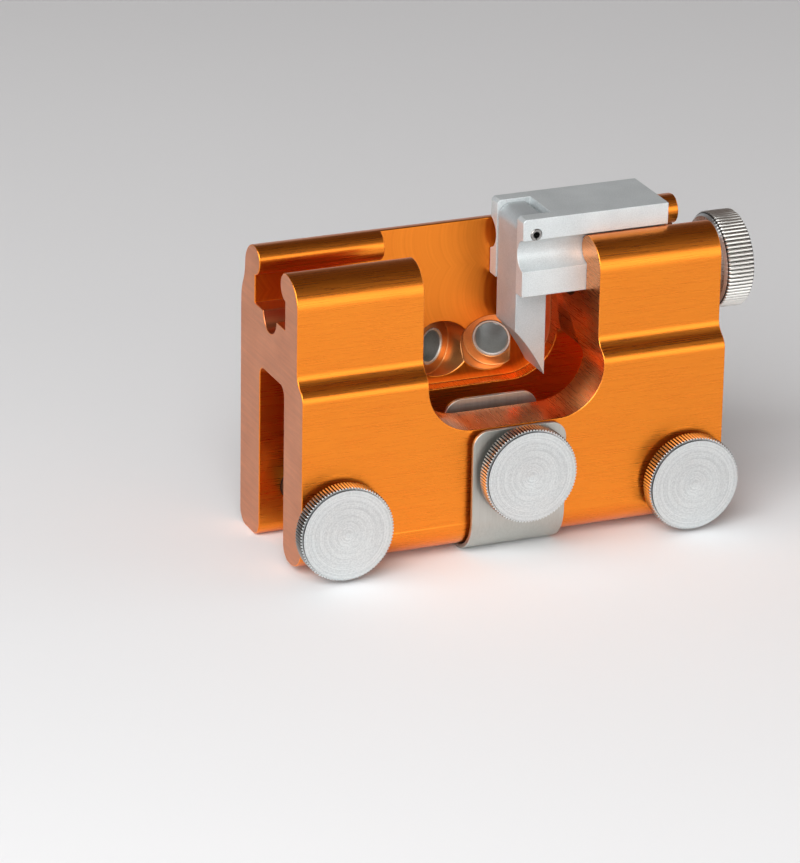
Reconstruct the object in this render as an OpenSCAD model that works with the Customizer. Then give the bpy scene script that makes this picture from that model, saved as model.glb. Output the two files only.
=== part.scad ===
// Hand chainsaw sharpener: an extruded body that clamps over a saw bar, with two
// angled guide bushes for a cutter shaft and a screw-driven pawl that stops the chain.
// X runs along the bar, Y from the knobs to the back, Z up from the resting plane.

/* [Body] */
// Length of the body along the bar
body_l = 88; // [80:0.5:100]
// Thickness of the front wall below its step
front_wall = 9.7; // [9.2:0.1:12]
// Width of the bar slot
slot_w = 12.7; // [11.5:0.1:15]
// Thickness of the back wall below its step
back_wall = 10.2; // [9:0.1:12]
// Height of the slot roof above the front wall's underside
slot_h = 34.7; // [33:0.1:40]
// Fillet in the corners of the slot roof
slot_corner_r = 2; // [1:0.1:3]
// Thickness of the web between the slot roof and the channel floor
web_h = 11.8; // [10:0.1:14]
// Rounding of the front wall's outer lower edge
foot_outer_r = 5.6; // [4:0.1:6]
// Rounding of the other lower edges of the walls
foot_inner_r = 3; // [1.5:0.1:3.2]

/* [Outer steps] */
// Setback of the upper front face
front_step = 3.05; // [2:0.05:3.5]
// Height over which the front face steps back
front_step_h = 5.4; // [4:0.1:7]
// Distance of the start of the front step below the slot roof
front_step_drop = 0.3; // [0:0.1:3]
// Setback of the upper back face
back_step = 2; // [1:0.05:2.5]
// Height over which the back face steps in
back_step_h = 8; // [5:0.1:9]

/* [Top channel] */
// Width of the channel below the beads
channel_w = 15.8; // [14.5:0.1:17]
// Distance of the channel's middle behind the slot's middle
channel_shift = 1.3; // [0:0.1:2]
// Radius of the round beads that hold the slide down
bead_r = 2.9; // [2.4:0.1:3.4]
// Height of the bead centres above the channel floor
bead_rise = 8.5; // [7.5:0.1:10]
// Distance of the bead centres outside the channel walls
bead_set = 0.45; // [0.2:0.05:0.8]

/* [Work notch] */
// Width of the notch above its round corners
notch_w = 36.4; // [32:0.2:42]
// Radius of the notch's lower corners
notch_r = 9.5; // [6:0.1:12]
// Height of the notch sill above the front wall's underside
notch_sill = 24.9; // [24:0.1:26]

/* [Guide bushes] */
// Angle of each guide bore to the square line across the bar
guide_angle = 30; // [22:1:35]
// Diameter of the guide bores
guide_bore_d = 6.35; // [5:0.05:6.5]
// Wall of a guide bush
guide_wall = 0.5; // [0.45:0.05:1.2]
// Height of the guide axes above the front wall's underside
guide_z = 32; // [31:0.1:33]
// Distance of the bush seats behind the bar's middle, square to the bar
guide_seat = 11.1; // [11:0.1:13]
// Diameter of the flat seat round each bush
guide_seat_d = 11.2; // [10:0.1:11.4]
// Length of a bush beyond the back face, along its axis
guide_proud = 10; // [8:0.5:14]
// Chamfer at the ends of a guide bush
guide_chamfer = 0.2; // [0.1:0.05:0.2]

/* [Thumb screws] */
// Diameter over the ridges of every knob
knob_d = 19.15; // [16:0.05:20]
// Thickness of a thumb screw's head
knob_t = 3.6; // [3:0.1:5]
// Number of ridges round a thumb screw's head
knob_ridges = 84; // [60:2:96]
// Depth of the ridges on every knob
ridge_depth = 0.4; // [0.3:0.05:0.6]
// Height of the smooth face above the ridged rim
face_rise = 0.2; // [0.1:0.05:0.4]
// Distance of the smooth face's edge inside the tips of the ridges
face_inset = 0.3; // [0.25:0.05:0.6]
// Outside diameter of the screw threads
screw_d = 6.35; // [5.5:0.05:6.8]
// Distance of the clamp screws from the body's ends
clamp_inset = 7.7; // [6.5:0.05:12]
// Height of the clamp screws above the front wall's underside
clamp_z = 9; // [8.8:0.1:13]
// Gap between a clamp screw's head and the body
clamp_gap = 1; // [0.9:0.1:4]
// Thickness of the saw bar held between the tips and the stops
bar_t = 4.9; // [4:0.1:6]
// Diameter of a clamp tip
tip_d = 5; // [4.2:0.1:5.2]
// Length of a clamp tip beyond the end of its screw
tip_l = 2.5; // [1.5:0.1:3]
// Diameter of a clamp tip's stem
tip_stem_d = 3; // [2.5:0.1:3.2]
// Length of a clamp tip's stem
tip_stem_l = 3; // [2:0.1:4]
// Distance of a bar stop's socket end inside the back face
stop_recess = 2; // [1:0.1:3]
// Width across the flats of a bar stop's hex socket
stop_hex = 3.2; // [2.5:0.1:3.5]
// Depth of a bar stop's hex socket
stop_hex_l = 3; // [2:0.1:4]

/* [Chain plate] */
// Width of the chain plate
plate_w = 19.4; // [18:0.2:22]
// Thickness of the chain plate
plate_t = 0.8; // [0.6:0.1:1.2]
// Gap between the plate and the outside of the front wall
plate_gap = 1.2; // [1.1:0.1:1.5]
// Gap between the plate and the underside of the front wall
plate_under = 0.4; // [0.3:0.1:0.8]
// Gap between the plate's inner leg and the slot's front face
plate_inner_gap = 2.3; // [2.2:0.1:3]
// Height of the plate's front leg above the front wall's underside
plate_front_h = 25.1; // [22:0.1:26]
// Height of the plate's inner leg above the front wall's underside
plate_inner_h = 26.4; // [25:0.1:27.5]
// Rounding of the plate's upper corners
plate_corner_r = 3.3; // [2:0.1:5]
// Inside bend radius of the plate below the inner leg
plate_bend_r = 3; // [2.5:0.1:3.5]
// How much wider the plate's front bend is than the wall's rounded edge
plate_bend_add = 1.6; // [1.3:0.1:1.8]
// Height of the plate screw above the front wall's underside
plate_screw_z = 16.4; // [14:0.1:17.5]
// Distance of the plate screw to the right of the body's middle
plate_screw_x = 0.7; // [-1.5:0.1:1.5]
// Thickness of the washer between the plate and its knob
plate_washer_t = 0.9; // [0.6:0.1:1.5]
// Outside diameter of that washer
plate_washer_d = 11; // [9:0.1:14]
// Thickness of the retaining clip behind the plate
clip_t = 0.6; // [0.4:0.05:0.7]
// Outside diameter of the retaining clip
clip_d = 10; // [8.5:0.1:11]
// Diameter of the screw in the clip's groove
clip_groove_d = 4.9; // [4.3:0.1:5.2]
// Solid metal left between the plate screw's end and the slot
plate_screw_end = 1.2; // [1.1:0.1:3]

/* [Slide] */
// Length of the slide
slide_l = 30.6; // [28:0.1:32]
// Gap between the slide's right end and the keeper
slide_end_gap = 2.8; // [2.2:0.1:4]
// Thickness of the slide's top above the beads
slide_top_t = 4.2; // [4:0.1:6]
// Bevel at the top of the slide's left end
slide_bevel = 0.6; // [0.3:0.1:1]

/* [Pawl] */
// Width of the pawl across the bar
pawl_w = 9.2; // [7:0.1:9.3]
// Thickness of the pawl along the bar
pawl_t = 6.4; // [5.8:0.1:7]
// Distance of the pawl's left face from its pin
pawl_lead = 2.6; // [2.4:0.1:2.9]
// Distance of the pawl's point below its pin
pawl_point = 30.2; // [28:0.1:31]
// Distance of the heel, where the slanted end starts, below the pin
pawl_heel = 20.5; // [17:0.1:22.5]
// Radius of the hollow of the pawl's slanted end
pawl_hollow_r = 42; // [25:1:60]
// Diameter of the pawl pin
pin_d = 2.4; // [2:0.1:3]
// Diameter of the hole through the pawl pin
pin_hole_d = 1.3; // [0.8:0.1:1.5]
// Distance of the pawl pin from the slide's left end
pin_inset = 2.8; // [2.6:0.1:4]
// Distance of the pawl pin below the slide's top
pin_drop = 3.3; // [3:0.1:3.6]

/* [Adjuster] */
// Thickness of the adjusting knob
adj_knob_t = 6.2; // [4:0.1:7.5]
// Number of ridges round the adjusting knob
adj_ridges = 70; // [50:2:90]
// Bevel at the adjusting knob's inner end
adj_bevel = 0.6; // [0.4:0.1:1.2]
// Bevel at the adjusting knob's outer end
adj_rim_bevel = 0.25; // [0.15:0.05:0.6]
// Gap between the body's end and the adjusting knob
adj_knob_gap = 3.5; // [3:0.1:5]
// Diameter of the adjusting knob's hub and its washer
hub_d = 13; // [11.5:0.1:15]
// Thickness of the washer under the hub
thrust_washer_t = 0.8; // [0.5:0.1:0.9]
// Diameter of the set screw in the hub
set_screw_d = 1.6; // [1.2:0.1:1.8]
// Distance of the adjusting screw's free end from the notch
adj_screw_start = 1.8; // [1:0.1:4]
// Diameter of the collar that keeps the adjusting screw in place
collar_d = 9.2; // [8.6:0.1:10]
// Thickness of that collar
collar_t = 2; // [1.5:0.1:2.4]
// Length of the keeper that covers the collar
keeper_l = 5.8; // [5:0.1:6]
// Height of the keeper above the channel floor
keeper_h = 5; // [4.9:0.1:5.2]
// Diameter of the pin that holds the keeper
keeper_pin_d = 2; // [1.5:0.1:2]
// Distance of the keeper pin's inner end from the channel wall
keeper_pin_l = 3; // [2:0.1:3.5]

/* [Fits] */
// Radial clearance of a shaft that turns in its hole
run_gap = 0.06; // [0.03:0.01:0.09]
// Radial clearance of a piece fixed in its hole
fit_gap = 0.02; // [0.01:0.01:0.04]
// Gap between flat faces that slide or turn on each other
face_gap = 0.05; // [0.03:0.01:0.1]
// Clearance of the slide and the keeper in the channel
channel_gap = 0.15; // [0.1:0.01:0.2]
// Clearance of the slide round the beads
bead_gap = 0.3; // [0.2:0.05:0.4]
// Clearance of the pawl in its slot
pawl_gap = 0.15; // [0.1:0.01:0.2]
// Gap between the pawl and the end of its slot
pawl_stop_gap = 0.3; // [0.2:0.05:0.5]
// Clearance round the adjusting screw in the channel floor
groove_gap = 0.22; // [0.1:0.02:0.3]
// Clearance round the collar and the clip
collar_gap = 0.2; // [0.1:0.05:0.3]
// Clearance of the plate screw in the plate and the washer
plate_hole_gap = 0.3; // [0.15:0.05:0.5]

/* [Hidden] */
$fn = 72;

orange = [0.93, 0.45, 0.06];
steel = [0.74, 0.74, 0.72];
stainless = [0.66, 0.65, 0.62];
silver = [0.80, 0.81, 0.83];
dark_steel = [0.28, 0.28, 0.29];
brass = [0.78, 0.62, 0.30];

// Length by which cutting shapes run past the faces that they cut
over = 1;
screw_r = screw_d / 2;

// Section of the body, Y by Z
wall_z = plate_under + plate_t;
slot_y0 = front_wall;
slot_y1 = slot_y0 + slot_w;
slot_mid = slot_y0 + slot_w / 2;
body_d = slot_y1 + back_wall;
roof_z = wall_z + slot_h;
floor_z = roof_z + web_h;
bead_z = floor_z + bead_rise;
top_z = bead_z + bead_r;
chan_mid = slot_mid + channel_shift;
chan_y0 = chan_mid - channel_w / 2;
chan_y1 = chan_mid + channel_w / 2;
bead_y0 = chan_y0 - bead_set;
bead_y1 = chan_y1 + bead_set;
back_y = body_d - back_step;
front_crown_r = bead_y0 - front_step;
back_crown_r = back_y - bead_y1;
front_step_z = roof_z - front_step_drop;
back_step_z = top_z - back_crown_r - back_step_h;
groove_r = screw_r + groove_gap;

// Places along the bar and up the body
end_x = body_l / 2;
notch_x = notch_w / 2;
sill_z = wall_z + notch_sill;
clamp_x = end_x - clamp_inset;
clamp_axis_z = wall_z + clamp_z;
plate_axis_z = wall_z + plate_screw_z;
guide_axis_z = wall_z + guide_z;

// Guide bushes
guide_r = guide_bore_d / 2;
bush_r = guide_r + guide_wall;
seat_from_cross = guide_seat / cos(guide_angle);
back_from_cross = (body_d - slot_mid) / cos(guide_angle);
bush_l = back_from_cross + guide_proud - seat_from_cross;

// Clamp tips, bar stops and the plate screw, measured along Y
tip_face_y = slot_mid - bar_t / 2;
clamp_end_y = tip_face_y - tip_l - face_gap;
stop_face_y = slot_mid + bar_t / 2;
stop_end_y = body_d - stop_recess;
plate_front_y = -plate_gap - plate_t;
plate_head_y = plate_front_y - plate_washer_t - 2 * face_gap;
clip_y0 = -plate_gap + 2 * face_gap;
clip_recess = plate_gap + clip_t - 2 * face_gap;
clip_recess_r = clip_d / 2 + 3 * collar_gap;
inner_leg_y = slot_y0 + plate_inner_gap;

// Slide and pawl
slide_w = channel_w - 2 * channel_gap;
slide_z0 = floor_z + channel_gap;
slide_z1 = top_z + bead_gap + slide_top_t;
slide_groove_r = bead_r + bead_gap;
slide_x = end_x - keeper_l - slide_end_gap - slide_l;
pawl_trail = pawl_t - pawl_lead;
pawl_slot_w = pawl_w + 2 * pawl_gap;
pawl_slot_l = pin_inset + pawl_trail + pawl_stop_gap;
pin_x = slide_x + pin_inset;
pin_z = slide_z1 - pin_drop;

// Adjuster, measured along X
keeper_x = end_x - keeper_l;
collar_x = end_x - keeper_l / 2 - collar_t / 2;
adj_screw_x = notch_x + adj_screw_start;
adj_knob_x = end_x + adj_knob_gap;
adj_end_x = adj_knob_x + adj_knob_t;
hub_x = end_x + thrust_washer_t + 2 * face_gap;
keeper_pin_z = floor_z + keeper_h / 2;

// Middle of the whole part, which stands over the origin
left_reach = min(-end_x, -clamp_x - knob_d / 2);
front_reach = plate_head_y - knob_t;
bush_back = slot_mid + (seat_from_cross + bush_l) * cos(guide_angle) + bush_r * sin(guide_angle);
mid_x = (left_reach + adj_end_x) / 2;
bush_rim_cut = guide_chamfer * sin(guide_angle);
mid_y = (front_reach + bush_back - bush_rim_cut) / 2;

function step_radius(depth, height) = (depth * depth + height * height) / (4 * depth);

module place() {
    translate([-mid_x, -mid_y, 0]) children();
}

// Extrudes a Y by Z outline along X
module along_x(x0, x1) {
    translate([x0, 0, 0]) rotate([90, 0, 90]) linear_extrude(x1 - x0) children();
}

// Extrudes an X by Z outline along Y
module along_y(y0, y1) {
    translate([0, y1, 0]) rotate([90, 0, 0]) linear_extrude(y1 - y0) children();
}

module rod_x(y, z, x0, x1, r) {
    translate([x0, y, z]) rotate([0, 90, 0]) cylinder(h = x1 - x0, r = r);
}

module rod_y(x, z, y0, y1, r) {
    translate([x, y0, z]) rotate([-90, 0, 0]) cylinder(h = y1 - y0, r = r);
}

// Stands a shape that is drawn up Z on one guide axis; side is -1 for left and 1 for right
module on_guide(side) {
    translate([0, slot_mid, guide_axis_z]) rotate([-90, 0, -side * guide_angle]) children();
}

module box2(y0, y1, z0, z1) {
    translate([y0, z0]) square([y1 - y0, z1 - z0]);
}

// Corner of a square outside a round of radius r, for rounding a lower left edge
module edge_round(r) {
    difference() {
        translate([-over, -over]) square(r + over);
        translate([r, r]) circle(r);
    }
}

// Quarter disc on top of a wall, to the left or right of the bead's middle
module crown(y, r, side) {
    intersection() {
        translate([y, top_z - r]) circle(r);
        translate([side < 0 ? y - r : y, top_z - r]) square(r);
    }
}

// Soft step from a lower face at 0 to an upper face at depth, in two equal arcs
module soft_step(depth, height) {
    r = step_radius(depth, height);
    intersection() {
        translate([r, 0]) circle(r);
        square([depth, height / 2]);
    }
    difference() {
        translate([0, height / 2]) square([depth, height / 2]);
        translate([depth - r, height]) circle(r);
    }
}

module body_outside() {
    box2(0, body_d, 0, front_step_z);
    box2(front_step, body_d, front_step_z, back_step_z);
    box2(front_step, bead_y0, back_step_z, top_z - front_crown_r);
    box2(bead_y0, bead_y1, back_step_z, bead_z);
    box2(bead_y1, back_y, back_step_z, top_z - back_crown_r);
    crown(bead_y0, front_crown_r, -1);
    crown(bead_y1, back_crown_r, 1);
    translate([0, front_step_z]) soft_step(front_step, front_step_h);
    translate([body_d, back_step_z]) mirror([1, 0]) soft_step(back_step, back_step_h);
    beads();
}

// Inner halves of the two beads
module beads() {
    intersection() {
        union() {
            translate([bead_y0, bead_z]) circle(bead_r);
            translate([bead_y1, bead_z]) circle(bead_r);
        }
        box2(bead_y0, bead_y1, bead_z - bead_r, top_z);
    }
}

module bar_slot() {
    r = slot_corner_r;
    box2(slot_y0, slot_y1, -over, roof_z - r);
    box2(slot_y0 + r, slot_y1 - r, 0, roof_z);
    translate([slot_y0 + r, roof_z - r]) circle(r);
    translate([slot_y1 - r, roof_z - r]) circle(r);
}

module top_channel() {
    difference() {
        box2(chan_y0, chan_y1, floor_z, top_z + over);
        beads();
    }
    translate([chan_mid, floor_z]) circle(groove_r);
}

module feet() {
    box2(-over, slot_y0 + over, -over, wall_z);
    translate([0, wall_z]) edge_round(foot_outer_r);
    translate([slot_y0, wall_z]) mirror([1, 0]) edge_round(foot_inner_r);
    translate([slot_y1, 0]) edge_round(foot_inner_r);
    translate([body_d, 0]) mirror([1, 0]) edge_round(foot_inner_r);
}

module body_section() {
    difference() {
        body_outside();
        bar_slot();
        top_channel();
        feet();
    }
}

module notch_outline() {
    r = notch_r;
    translate([-notch_x, sill_z + r]) square([notch_w, top_z]);
    translate([-notch_x + r, sill_z]) square([notch_w - 2 * r, top_z]);
    translate([-notch_x + r, sill_z + r]) circle(r);
    translate([notch_x - r, sill_z + r]) circle(r);
}

module guide_cuts() {
    for (side = [-1, 1]) {
        on_guide(side) cylinder(h = seat_from_cross, d = guide_seat_d);
        on_guide(side) cylinder(h = seat_from_cross + bush_l, r = bush_r + fit_gap);
    }
}

module screw_holes() {
    for (side = [-1, 1]) {
        rod_y(side * clamp_x, clamp_axis_z, -over, slot_mid, screw_r + run_gap);
        rod_y(side * clamp_x, clamp_axis_z, slot_mid, body_d + over, screw_r + fit_gap);
    }
    rod_y(plate_screw_x, plate_axis_z, -over, slot_mid, screw_r + run_gap);
    rod_y(plate_screw_x, plate_axis_z, -over, clip_recess, clip_recess_r);
}

module adjuster_cuts() {
    rod_x(chan_mid, floor_z, collar_x - face_gap, collar_x + collar_t + face_gap,
        collar_d / 2 + collar_gap);
    rod_y(end_x - keeper_l / 2, keeper_pin_z, chan_mid + groove_r, body_d + over,
        keeper_pin_d / 2 + fit_gap);
}

module body() {
    color(orange) place() difference() {
        along_x(-end_x, end_x) body_section();
        along_y(-over, chan_y1) notch_outline();
        guide_cuts();
        screw_holes();
        adjuster_cuts();
    }
}

// Sleeve with chamfered ends, drawn up Z from its seat
module guide_bush(side) {
    c = guide_chamfer;
    color(steel) place() on_guide(side) translate([0, 0, seat_from_cross]) rotate_extrude()
        polygon([
            [guide_r + c, 0], [bush_r, 0], [bush_r, bush_l - c], [bush_r - c, bush_l],
            [guide_r + c, bush_l], [guide_r, bush_l - c], [guide_r, c]
        ]);
}

module left_guide_bush() {
    guide_bush(-1);
}

module right_guide_bush() {
    guide_bush(1);
}

// Prism with straight ridges all round, drawn up Z
module ridged_disc(d, t, ridges) {
    pitch = 360 / ridges;
    outer = d / 2;
    root = outer - ridge_depth;
    linear_extrude(t) polygon([
        for (i = [0 : ridges - 1], half = [0, 1])
            let (r = half == 0 ? outer : root, a = (i + half / 2) * pitch)
                [r * cos(a), r * sin(a)]
    ]);
}

// Thumb screw head, its back on Z = 0, with a smooth bevelled face in front of the ridges
module thumb_head() {
    rim_t = knob_t - face_rise;
    face_r = knob_d / 2 - face_inset;
    intersection() {
        ridged_disc(knob_d, rim_t, knob_ridges);
        rotate_extrude() polygon([
            [0, 0], [knob_d / 2 - ridge_depth, 0], [knob_d / 2 + over, over + ridge_depth],
            [knob_d / 2 + over, rim_t], [0, rim_t]
        ]);
    }
    translate([0, 0, rim_t]) cylinder(h = face_rise, r1 = face_r + face_rise, r2 = face_r);
}

// Turns a shape drawn up Z so that it faces the front
module facing_front(x, y, z) {
    translate([x, y, z]) rotate([90, 0, 0]) children();
}

module clamp_screw(side) {
    x = side * clamp_x;
    stem_r = tip_stem_d / 2 + run_gap;
    color(steel) place() difference() {
        union() {
            facing_front(x, -clamp_gap, clamp_axis_z) thumb_head();
            rod_y(x, clamp_axis_z, -clamp_gap, clamp_end_y, screw_r);
        }
        rod_y(x, clamp_axis_z, clamp_end_y - tip_stem_l - face_gap, clamp_end_y + over, stem_r);
    }
}

module left_clamp_screw() {
    clamp_screw(-1);
}

module right_clamp_screw() {
    clamp_screw(1);
}

module clamp_tip(side) {
    x = side * clamp_x;
    shoulder_y = tip_face_y - tip_l;
    color(brass) place() {
        rod_y(x, clamp_axis_z, shoulder_y, tip_face_y, tip_d / 2);
        rod_y(x, clamp_axis_z, clamp_end_y - tip_stem_l, tip_face_y, tip_stem_d / 2);
    }
}

module left_clamp_tip() {
    clamp_tip(-1);
}

module right_clamp_tip() {
    clamp_tip(1);
}

module bar_stop(side) {
    x = side * clamp_x;
    color(dark_steel) place() difference() {
        rod_y(x, clamp_axis_z, stop_face_y, stop_end_y, screw_r);
        translate([x, stop_end_y - stop_hex_l, clamp_axis_z]) rotate([-90, 0, 0])
            cylinder(h = stop_hex_l + over, r = stop_hex / 2 / cos(30), $fn = 6);
    }
}

module left_bar_stop() {
    bar_stop(-1);
}

module right_bar_stop() {
    bar_stop(1);
}

// Quarter of a bent strip; side is -1 for the front bend and 1 for the inner one
module bend(y, z, r, side) {
    reach = r + plate_t;
    intersection() {
        translate([y, z]) difference() {
            circle(reach);
            circle(r);
        }
        translate([side < 0 ? y - reach : y, z - reach]) square(reach);
    }
}

module plate_section() {
    front_r = foot_outer_r + plate_bend_add;
    front_y = front_r - plate_gap;
    front_z = plate_t + front_r;
    inner_y = inner_leg_y - plate_bend_r;
    inner_z = plate_t + plate_bend_r;
    box2(plate_front_y, plate_front_y + plate_t, front_z, wall_z + plate_front_h);
    bend(front_y, front_z, front_r, -1);
    box2(front_y, inner_y, 0, plate_t);
    bend(inner_y, inner_z, plate_bend_r, 1);
    box2(inner_leg_y, inner_leg_y + plate_t, inner_z, wall_z + plate_inner_h);
}

// Outline of one leg, X by Z, with round upper corners
module leg_outline(h) {
    r = plate_corner_r;
    translate([-plate_w / 2, -over]) square([plate_w, h - r + over]);
    translate([-plate_w / 2 + r, -over]) square([plate_w - 2 * r, h + over]);
    translate([-plate_w / 2 + r, h - r]) circle(r);
    translate([plate_w / 2 - r, h - r]) circle(r);
}

module chain_plate() {
    split_y = slot_y0 / 2;
    color(stainless) place() difference() {
        intersection() {
            along_x(-plate_w / 2, plate_w / 2) plate_section();
            union() {
                along_y(plate_front_y - over, split_y) leg_outline(wall_z + plate_front_h);
                along_y(split_y, slot_y1) leg_outline(wall_z + plate_inner_h);
            }
        }
        rod_y(plate_screw_x, plate_axis_z, plate_front_y - over, 0, screw_r + plate_hole_gap);
    }
}

module plate_washer() {
    y1 = plate_front_y - face_gap;
    y0 = y1 - plate_washer_t;
    color(steel) place() difference() {
        rod_y(plate_screw_x, plate_axis_z, y0, y1, plate_washer_d / 2);
        rod_y(plate_screw_x, plate_axis_z, y0 - over, y1 + over, screw_r + plate_hole_gap);
    }
}

module plate_screw() {
    groove_y0 = clip_y0 - face_gap;
    groove_y1 = clip_y0 + clip_t + face_gap;
    end_y = slot_y0 - plate_screw_end;
    color(steel) place() {
        facing_front(plate_screw_x, plate_head_y, plate_axis_z) thumb_head();
        rod_y(plate_screw_x, plate_axis_z, plate_head_y, groove_y0, screw_r);
        rod_y(plate_screw_x, plate_axis_z, plate_head_y, end_y, clip_groove_d / 2);
        rod_y(plate_screw_x, plate_axis_z, groove_y1, end_y, screw_r);
    }
}

// Open ring in the plate screw's groove
module plate_clip() {
    inner_r = clip_groove_d / 2 + fit_gap;
    color(dark_steel) place() difference() {
        rod_y(plate_screw_x, plate_axis_z, clip_y0, clip_y0 + clip_t, clip_d / 2);
        rod_y(plate_screw_x, plate_axis_z, clip_y0 - over, clip_y0 + clip_t + over, inner_r);
        translate([plate_screw_x - inner_r * 0.8, clip_y0 - over, plate_axis_z - clip_d])
            cube([inner_r * 1.6, clip_t + 2 * over, clip_d]);
    }
}

module slide_section() {
    difference() {
        box2(chan_mid - slide_w / 2, chan_mid + slide_w / 2, slide_z0, slide_z1);
        translate([bead_y0, bead_z]) circle(slide_groove_r);
        translate([bead_y1, bead_z]) circle(slide_groove_r);
        translate([chan_mid, floor_z]) circle(screw_r + run_gap);
    }
}

module pawl_slide() {
    color(silver) place() difference() {
        along_x(slide_x, slide_x + slide_l) slide_section();
        translate([slide_x - over, chan_mid - pawl_slot_w / 2, floor_z])
            cube([pawl_slot_l + over, pawl_slot_w, slide_z1]);
        rod_y(pin_x, pin_z, chan_y0 - over, chan_y1 + over, pin_d / 2 + fit_gap);
        along_y(chan_y0 - over, chan_y1 + over) polygon([
            [slide_x - over, slide_z1 - slide_bevel - over],
            [slide_x + slide_bevel + over, slide_z1 + over], [slide_x - over, slide_z1 + over]
        ]);
    }
}

module pawl_pin() {
    y0 = chan_mid - slide_w / 2;
    y1 = chan_mid + slide_w / 2;
    color(dark_steel) place() difference() {
        rod_y(pin_x, pin_z, y0, y1, pin_d / 2);
        rod_y(pin_x, pin_z, y0 - over, y1 + over, pin_hole_d / 2);
    }
}

// Side view of the pawl round its pin, with a hollow slanted lower end
module pawl_outline() {
    fall = pawl_point - pawl_heel;
    chord = sqrt(pawl_t * pawl_t + fall * fall);
    back_off = sqrt(pawl_hollow_r * pawl_hollow_r - chord * chord / 4);
    middle = [(pawl_trail - pawl_lead) / 2, -(pawl_heel + pawl_point) / 2];
    away = [-fall, -pawl_t] / chord;
    difference() {
        union() {
            circle(pawl_lead);
            intersection() {
                circle(pawl_trail);
                square([pawl_trail, pawl_lead]);
            }
            translate([-pawl_lead, -pawl_point]) square([pawl_t, pawl_point]);
        }
        translate(middle + back_off * away) circle(pawl_hollow_r);
    }
}

module pawl() {
    y0 = chan_mid - pawl_w / 2;
    y1 = chan_mid + pawl_w / 2;
    color(silver) place() difference() {
        translate([pin_x, 0, pin_z]) along_y(y0, y1) pawl_outline();
        rod_y(pin_x, pin_z, y0 - over, y1 + over, pin_d / 2 + run_gap);
    }
}

module adjusting_screw() {
    color(steel) place() {
        rod_x(chan_mid, floor_z, adj_screw_x, adj_end_x, screw_r);
        rod_x(chan_mid, floor_z, collar_x, collar_x + collar_t, collar_d / 2);
    }
}

module thrust_washer() {
    x0 = end_x + face_gap;
    x1 = x0 + thrust_washer_t;
    color(steel) place() difference() {
        rod_x(chan_mid, floor_z, x0, x1, hub_d / 2);
        rod_x(chan_mid, floor_z, x0 - over, x1 + over, screw_r + run_gap);
    }
}

module adjusting_knob() {
    b = adj_bevel;
    rim_b = adj_rim_bevel;
    r = knob_d / 2;
    color(steel) place() difference() {
        union() {
            translate([adj_knob_x, chan_mid, floor_z]) rotate([0, 90, 0]) intersection() {
                ridged_disc(knob_d, adj_knob_t, adj_ridges);
                rotate_extrude() polygon([
                    [0, 0], [r - b, 0], [r + over, b + over],
                    [r + over, adj_knob_t - rim_b - over], [r - rim_b, adj_knob_t],
                    [0, adj_knob_t]
                ]);
            }
            rod_x(chan_mid, floor_z, hub_x, adj_knob_x + b, hub_d / 2);
        }
        rod_x(chan_mid, floor_z, hub_x - over, adj_end_x + over, screw_r + fit_gap);
        translate([(hub_x + adj_knob_x) / 2, chan_mid, floor_z])
            cylinder(h = hub_d, r = set_screw_d / 2 + fit_gap);
    }
}

module knob_set_screw() {
    inner = screw_r + fit_gap;
    color(dark_steel) place() translate([(hub_x + adj_knob_x) / 2, chan_mid, floor_z + inner])
        cylinder(h = hub_d / 2 - inner - face_gap, r = set_screw_d / 2);
}

// Block that closes the channel over the adjusting screw's collar
module screw_keeper() {
    y0 = chan_mid - slide_w / 2;
    color(silver) place() difference() {
        translate([keeper_x, y0, floor_z + fit_gap])
            cube([keeper_l, slide_w, keeper_h]);
        rod_x(chan_mid, floor_z, keeper_x - over, end_x + over, screw_r + run_gap);
        adjuster_cuts();
    }
}

module keeper_pin() {
    color(dark_steel) place()
        rod_y(end_x - keeper_l / 2, keeper_pin_z, chan_y1 - keeper_pin_l, back_y,
            keeper_pin_d / 2);
}

body();
left_guide_bush();
right_guide_bush();
left_clamp_screw();
right_clamp_screw();
left_clamp_tip();
right_clamp_tip();
left_bar_stop();
right_bar_stop();
chain_plate();
plate_washer();
plate_screw();
plate_clip();
pawl_slide();
pawl_pin();
pawl();
adjusting_screw();
thrust_washer();
adjusting_knob();
knob_set_screw();
screw_keeper();
keeper_pin();
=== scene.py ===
import math

import bmesh
import bpy
from mathutils import Matrix, Vector


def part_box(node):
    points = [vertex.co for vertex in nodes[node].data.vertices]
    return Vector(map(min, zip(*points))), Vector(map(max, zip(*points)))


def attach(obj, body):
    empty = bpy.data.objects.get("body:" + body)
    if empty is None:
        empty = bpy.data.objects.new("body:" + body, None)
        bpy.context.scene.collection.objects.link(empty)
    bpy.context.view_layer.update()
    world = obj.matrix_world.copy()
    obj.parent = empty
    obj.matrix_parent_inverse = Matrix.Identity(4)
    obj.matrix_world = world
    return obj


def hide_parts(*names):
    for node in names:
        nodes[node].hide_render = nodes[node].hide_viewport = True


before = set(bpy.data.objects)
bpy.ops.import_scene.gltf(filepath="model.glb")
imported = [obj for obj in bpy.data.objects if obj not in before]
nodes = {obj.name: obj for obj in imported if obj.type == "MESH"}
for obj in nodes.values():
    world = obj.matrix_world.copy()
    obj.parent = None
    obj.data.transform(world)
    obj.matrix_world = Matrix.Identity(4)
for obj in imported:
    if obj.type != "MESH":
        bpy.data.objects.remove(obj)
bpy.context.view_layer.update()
scene = bpy.context.scene
scene.view_settings.view_transform = "Standard"
mm = 0.001


def nodeBox(node):
    low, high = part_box(node)
    return Vector(low), Vector(high)


# places are measured in millimetres from the body's middle, its front face and the floor
bodyLow, bodyHigh = nodeBox("body")
bodyZero = Vector(((bodyLow.x + bodyHigh.x) / 2, bodyLow.y, 0.0))


def spot(x, y, z):
    return bodyZero + Vector((x, y, z)) * mm


def bodyMm(point):
    return (point - bodyZero) / mm


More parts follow.
